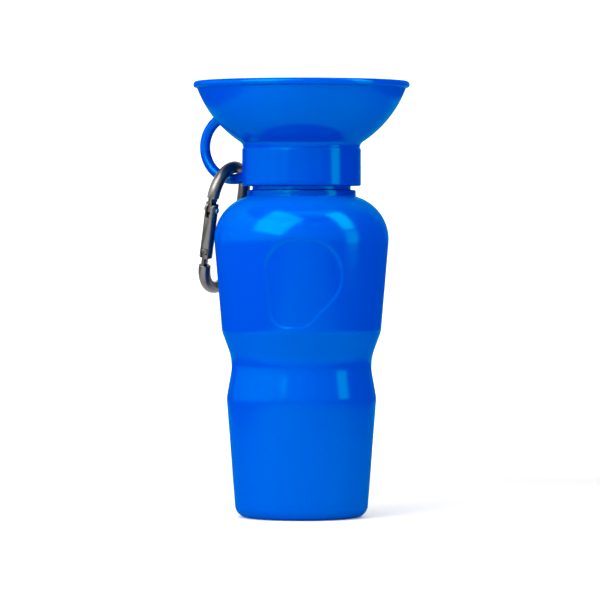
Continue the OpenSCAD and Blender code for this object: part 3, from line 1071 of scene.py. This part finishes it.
gasket = turned(
    "mouth_washer",
    [
        (MOUTH_BORE, MOUTH + RUNNING_GAP, 0.15),
        (GASKET_RADIUS, MOUTH + RUNNING_GAP, 0.15),
        (GASKET_RADIUS, DISC_LOW, 0.15),
        (MOUTH_BORE, DISC_LOW, 0.15),
    ],
)
finished(gasket, RUBBER, "insert", "rubber", "mouth_gasket")


def make_o_ring(sides=24):
    """The O-ring's round section, spun round the upright axis."""
    middle = (GROOVE_LOW + GROOVE_HIGH) / 2
    points = []
    for i in range(sides):
        angle = TURN * i / sides
        out = ORING_RADIUS + ORING_SECTION * math.cos(angle)
        points.append(Vector((out, middle + ORING_SECTION * math.sin(angle))))
    return lathe("o_ring", points, closed=True, steps=120)


finished(make_o_ring(), RUBBER, "insert", "rubber", "insert_oring")


def make_tube():
    """The dip tube, cut on the slant at its lower end."""
    bore = TUBE_RADIUS - TUBE_WALL
    line = [
        Vector((bore, TUBE_BOTTOM)),
        Vector((TUBE_RADIUS, TUBE_BOTTOM)),
        Vector((TUBE_RADIUS, TUBE_TOP)),
        Vector((bore, TUBE_TOP)),
    ]
    piece = drawn("straw_tube", stepped_loop(line, longest=4.0), closed=True)
    spun(TURN, 64)
    merge_doubles()
    slant = Vector((math.sin(TUBE_SLANT), 0, math.cos(TUBE_SLANT)))
    bpy.ops.mesh.bisect(
        plane_co=Vector((0, 0, TUBE_BOTTOM)) * MM - slant * TUBE_SLANT_DROP * MM,
        plane_no=slant,
        use_fill=True,
        clear_inner=True,
    )
    return closed_up(piece)


finished(make_tube(), TUBE, "insert", "tube_plastic", "dip_tube")

# ---------------------------------------------------------------- snap hook


def push(distance, steps):
    """Extrudes what is selected upwards, or downwards by a distance below zero."""
    move = {"value": (0, 0, distance * MM / steps)}
    for _ in range(steps):
        bpy.ops.mesh.extrude_region_move(TRANSFORM_OT_translate=move)


def round_off(piece, level, offset):
    """Rounds the edges at one level on the gate's side of a piece that is being edited."""
    select_near(piece, lambda p: p.x < 0 and abs(p.z - level) < SAME_LEVEL)
    bpy.ops.mesh.bevel(offset=offset * MM, segments=4, affect="EDGES")


def gate_block(out, inward, half, low, high, edge=0.0):
    """A box about the gate's axis: its reach out and in, half its width and its two levels."""
    corners = (-BEND + out, -half, low), (-BEND + inward, half, high)
    return softened_block(*corners, edge) if edge else block(*corners)


def gate_rod(low, high, radius, sides=48):
    """A round bar along the gate's axis."""
    return rod((-BEND, 0, low), (-BEND, 0, high), radius, sides)


def rivet_rod(half, radius, sides=48):
    """A round bar along the rivet's axis, with half of its length on each side."""
    return rod((-BEND, -half, RIVET_LEVEL), (-BEND, half, RIVET_LEVEL), radius, sides)


def make_hook_bar():
    """The hook's bent bar with the tongue over the gate and the nose that the gate closes on."""
    alone()
    start = (-BEND * MM, 0, STUB_END * MM)
    bpy.ops.mesh.primitive_circle_add(vertices=40, radius=ROD * MM, location=start)
    piece = start_piece("hook_bar")
    edit_all(piece)
    push(-STUB_END, 1)
    spun(math.pi, 40, axis=(0, 1, 0))
    push(-SPINE, 14)
    spun(math.pi, 40, centre=(0, 0, -SPINE * MM), axis=(0, 1, 0))
    push(LOWER_STUB + SPINE, 1)
    cap_ends()
    face_outwards()
    for level in (STUB_END, LOWER_STUB):
        round_off(piece, level, STUB_ROUND)
    for near, far in ((-PAST, -TONGUE_HALF), (TONGUE_HALF, PAST)):
        corners = (-BEND - PAST, near, STUB_END - OVERLAP), (-BEND + PAST, far, FORK_SHOULDER)
        cut(piece, block(*corners))
    tongue = (-TONGUE_REACH, TONGUE_REACH, TONGUE_HALF, RIVET_LEVEL, STUB_END + OVERLAP)
    nose = (NOSE_OUT, NOSE_IN, NOSE_HALF, LOWER_STUB - OVERLAP, HEAD_LOW + OVERLAP)
    head = (NOSE_OUT, NOSE_IN, HEAD_HALF, HEAD_LOW, HEAD_TOP)
    join(piece, gate_block(*tongue, edge=TONGUE_ROUND))
    join(piece, rivet_rod(TONGUE_HALF, TONGUE_REACH))
    join(piece, gate_block(*nose, edge=NOSE_ROUND))
    join(piece, gate_block(*head, edge=HEAD_ROUND))
    cut(piece, rivet_rod(PAST, RIVET_HOLE))
    smooth(piece, angle=35)
    piece.data.transform(HOOK_PLACE)
    return piece


def make_gate():
    """The gate: a slotted tube, round at the rivet that it hinges on, open below for the nose."""
    piece = gate_rod(GATE_LOW, GATE_TOP, GATE_RADIUS, sides=64)
    piece.name = "hook_gate"
    piece.data.name = "hook_gate"
    edit(piece)
    for level in (GATE_LOW, GATE_TOP):
        round_off(piece, level, GATE_ROUND)
    wide = PAST + OVERLAP
    cheek = rivet_rod(wide, CHEEK_RADIUS, sides=64)
    join(cheek, gate_block(-wide, wide, wide, GATE_LOW - PAST, RIVET_LEVEL))
    cut(piece, cheek, "INTERSECT")
    cut(piece, gate_block(-PAST, PAST, GATE_SLOT, GATE_SLOT_LOW, PAST))
    cut(piece, gate_rod(SPRING_LOW, RIVET_LEVEL, SPRING_BORE))
    cut(piece, rivet_rod(PAST, RIVET_HOLE))
    cut(piece, gate_block(-PAST, SLOT_IN, NOSE_SLOT, GATE_LOW - OVERLAP, HEAD_LOW + OVERLAP))
    cut(piece, gate_block(-PAST, SLOT_IN, HEAD_SLOT, HEAD_SLOT_LOW, HEAD_SLOT_HIGH))
    apply_modifier(
        piece,
        "BEVEL",
        width=GATE_EDGE * MM,
        segments=2,
        limit_method="ANGLE",
        angle_limit=math.radians(50),
    )
    smooth(piece, angle=35)
    piece.data.transform(HOOK_PLACE)
    return piece


def make_rivet():
    """The gate's rivet with a domed head on both sides."""
    line = [
        (0, RIVET_HALF + RIVET_DOME, 0),
        (RIVET_CROWN, RIVET_HALF + RIVET_DOME_EDGE, 0.6),
        (RIVET_HEAD, RIVET_HALF, 0.12),
        (RIVET_RADIUS, RIVET_HALF, 0.05),
    ]
    line += [(out, -height, rounding) for out, height, rounding in reversed(line)]
    piece = turned("gate_rivet_heads", line, steps=40, closed=False)
    piece.data.transform(Matrix.Rotation(math.pi / 2, 4, "X"))
    piece.data.transform(Matrix.Translation(Vector((-BEND, 0, RIVET_LEVEL)) * MM))
    piece.data.transform(HOOK_PLACE)
    return piece


finished(make_hook_bar(), HOOK_METAL, "carabiner", "hook_metal", "carabiner_frame")
finished(make_gate(), HOOK_METAL, "gate", "hook_metal", "carabiner_gate")
finished(make_rivet(), STEEL, "carabiner", "steel", "gate_rivet")

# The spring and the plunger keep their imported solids.
for name in ("gate_spring", "spring_plunger"):
    nodes[name].data.materials.clear()
    nodes[name].data.materials.append(STEEL)

# ---------------------------------------------------------------- stage, lights, camera

# From here on lengths are in metres.
FLOOR_RADIUS = 5.0
FLOOR_BORDER = 0.2
FLOOR_CURVE = 1.0
CURVE_STEPS = 12
WALL_TOP = 3.0
PAPER_MIDDLE = 0.05
PAPER_HALF = 0.385
PAPER_SPREAD = 0.12
PAPER_EDGE = 1 / 50
# The glows below are painted light on the floor and wall.
NEAR_GLOW = 0.12
BACK_GLOW_START = 0.25
BACK_GLOW_RISE = 2.0
FAR_GLOW = 0.2
FAR_GLOW_START = 1.2
FAR_GLOW_RISE = 0.6


def pale_paper():
    """White paper that widens away from the bottle, with painted shade as greyer floor beside it
    and painted light as a glow: the paper glows, more behind the bottle, and the floor glows far
    off.
    """
    finish = Finish("pale_floor_painted_light")
    cloud = finish.noise(3.0, 2.0, 0.5)
    across = finish.along("X")
    back = finish.along("Y")
    half = finish.greater(back, 0.0) * PAPER_SPREAD + PAPER_HALF
    # Painted shade: the floor beside the paper is grey.
    beside = finish.clamped((finish.size(across - PAPER_MIDDLE) - half) * (1 / PAPER_EDGE))
    on_paper = 1 - beside
    # Painted light: the paper glows, more so behind the bottle, and the floor glows far off.
    behind = finish.clamped((back - BACK_GLOW_START) * BACK_GLOW_RISE) * on_paper
    far = finish.clamped((finish.length(finish.place) - FAR_GLOW_START) * FAR_GLOW_RISE)
    painted_glow = finish.greater(behind, NEAR_GLOW * on_paper + FAR_GLOW * far)
    white = finish.blend(cloud, (0.75, 0.75, 0.75, 1), (0.78, 0.78, 0.78, 1))
    painted_shade_grey = finish.blend(cloud, (0.24, 0.24, 0.24, 1), (0.28, 0.28, 0.28, 1))
    return finish.surface(
        {
            "Base Color": finish.blend(beside, white, painted_shade_grey),
            "Roughness": 0.7 + 0.1 * cloud,
            "Emission Color": finish.blend(painted_glow, (0, 0, 0, 1), (1, 1, 1, 1)),
            "Emission Strength": 1.0,
        }
    )


def make_sweep():
    """A round floor that curves up into a wall far from the bottle on every side."""
    alone()
    bpy.ops.mesh.primitive_circle_add(vertices=96, radius=FLOOR_RADIUS, fill_type="NGON")
    piece = start_piece("studio_sweep")
    edit_all(piece)
    bpy.ops.mesh.inset(thickness=FLOOR_BORDER)
    select_open_edges()
    quarters = [math.pi / 2 * i / CURVE_STEPS for i in range(1, CURVE_STEPS + 1)]
    rows = [(math.sin(turn), 1 - math.cos(turn)) for turn in quarters]
    radius = FLOOR_RADIUS
    height = 0
    for out, up in rows + [(1, WALL_TOP / FLOOR_CURVE)]:
        wider = FLOOR_RADIUS + FLOOR_CURVE * out
        higher = FLOOR_CURVE * up
        rise = {"value": (0, 0, higher - height)}
        bpy.ops.mesh.extrude_region_move(TRANSFORM_OT_translate=rise)
        bpy.ops.transform.resize(value=(wider / radius, wider / radius, 1))
        radius = wider
        height = higher
    smooth(piece, angle=60)
    piece.data.materials.append(pale_paper())


make_sweep()

AIM = Vector((0, 0, 0.12))


def softbox(name, azimuth, elevation, distance, width, height, radiance, roll=0):
    """A rectangular light of even brightness, placed by its direction from the bottle.

    Azimuth 0 is the camera's side; angles are in degrees.
    """
    a = math.radians(azimuth)
    e = math.radians(elevation)
    toward = Vector((math.sin(a) * math.cos(e), -math.cos(a) * math.cos(e), math.sin(e)))
    data = bpy.data.lights.new(name, "AREA")
    data.shape = "RECTANGLE"
    data.size = width
    data.size_y = height
    data.energy = radiance * math.pi * width * height
    light = bpy.data.objects.new(name, data)
    light.location = AIM + toward * distance
    facing = (light.location - AIM).to_track_quat("Z", "Y").to_matrix()
    light.rotation_euler = (facing @ Matrix.Rotation(math.radians(roll), 3, "Z")).to_euler()
    bpy.context.scene.collection.objects.link(light)


FILL_START = -123
FILL_STEP = 22
FILL_ELEVATION = 20
FILL_DISTANCE = 2.4
FILL_WIDTH = 2 * FILL_DISTANCE * math.tan(math.radians(FILL_STEP / 2))
FILL_HEIGHT = 2.2
FILL_RADIANCES = (1.1, 1.4, 1.65, 1.7, 1.45, 1.0, 0.8, 0.7, 0.5)

softbox("key_box", -38.5, 41, 0.5, width=0.39, height=0.46, radiance=5.6, roll=-16)
softbox("strip_high", 66, 42, 0.42, width=0.14, height=0.28, radiance=7.4)
softbox("strip_low", 67, 8.5, 0.36, width=0.11, height=0.15, radiance=3.7)
for number, radiance in enumerate(FILL_RADIANCES):
    azimuth = FILL_START + FILL_STEP * number
    place = (azimuth, FILL_ELEVATION, FILL_DISTANCE)
    softbox("fill_%d" % number, *place, FILL_WIDTH, FILL_HEIGHT, radiance)
softbox("top_fill", 0, 92, 1.0, width=1.0, height=1.0, radiance=1.6)
softbox("back_wall", 180, 30, 2.0, width=3.2, height=2.4, radiance=0.55)

WORLD_LIGHT = 0.03

world = bpy.data.worlds.new("studio")
bpy.context.scene.world = world
world.use_nodes = True
background = world.node_tree.nodes["Background"]
background.inputs["Color"].default_value = (1, 1, 1, 1)
background.inputs["Strength"].default_value = WORLD_LIGHT

CAMERA_HEIGHT = 0.153
CAMERA_BACK = 2.11
CAMERA_SIDE = -0.0008
AIM_HEIGHT = 0.1141
LENS = 240.9
SENSOR = 36

camera_data = bpy.data.cameras.new("camera")
camera_data.lens = LENS
camera_data.sensor_width = SENSOR
camera = bpy.data.objects.new("camera", camera_data)
camera.location = (CAMERA_SIDE, -CAMERA_BACK, CAMERA_HEIGHT)
sight = Vector((0, CAMERA_BACK, AIM_HEIGHT - CAMERA_HEIGHT))
camera.rotation_euler = sight.to_track_quat("-Z", "Y").to_euler()
bpy.context.scene.collection.objects.link(camera)
bpy.context.scene.camera = camera
bpy.context.scene.view_settings.view_transform = "Standard"
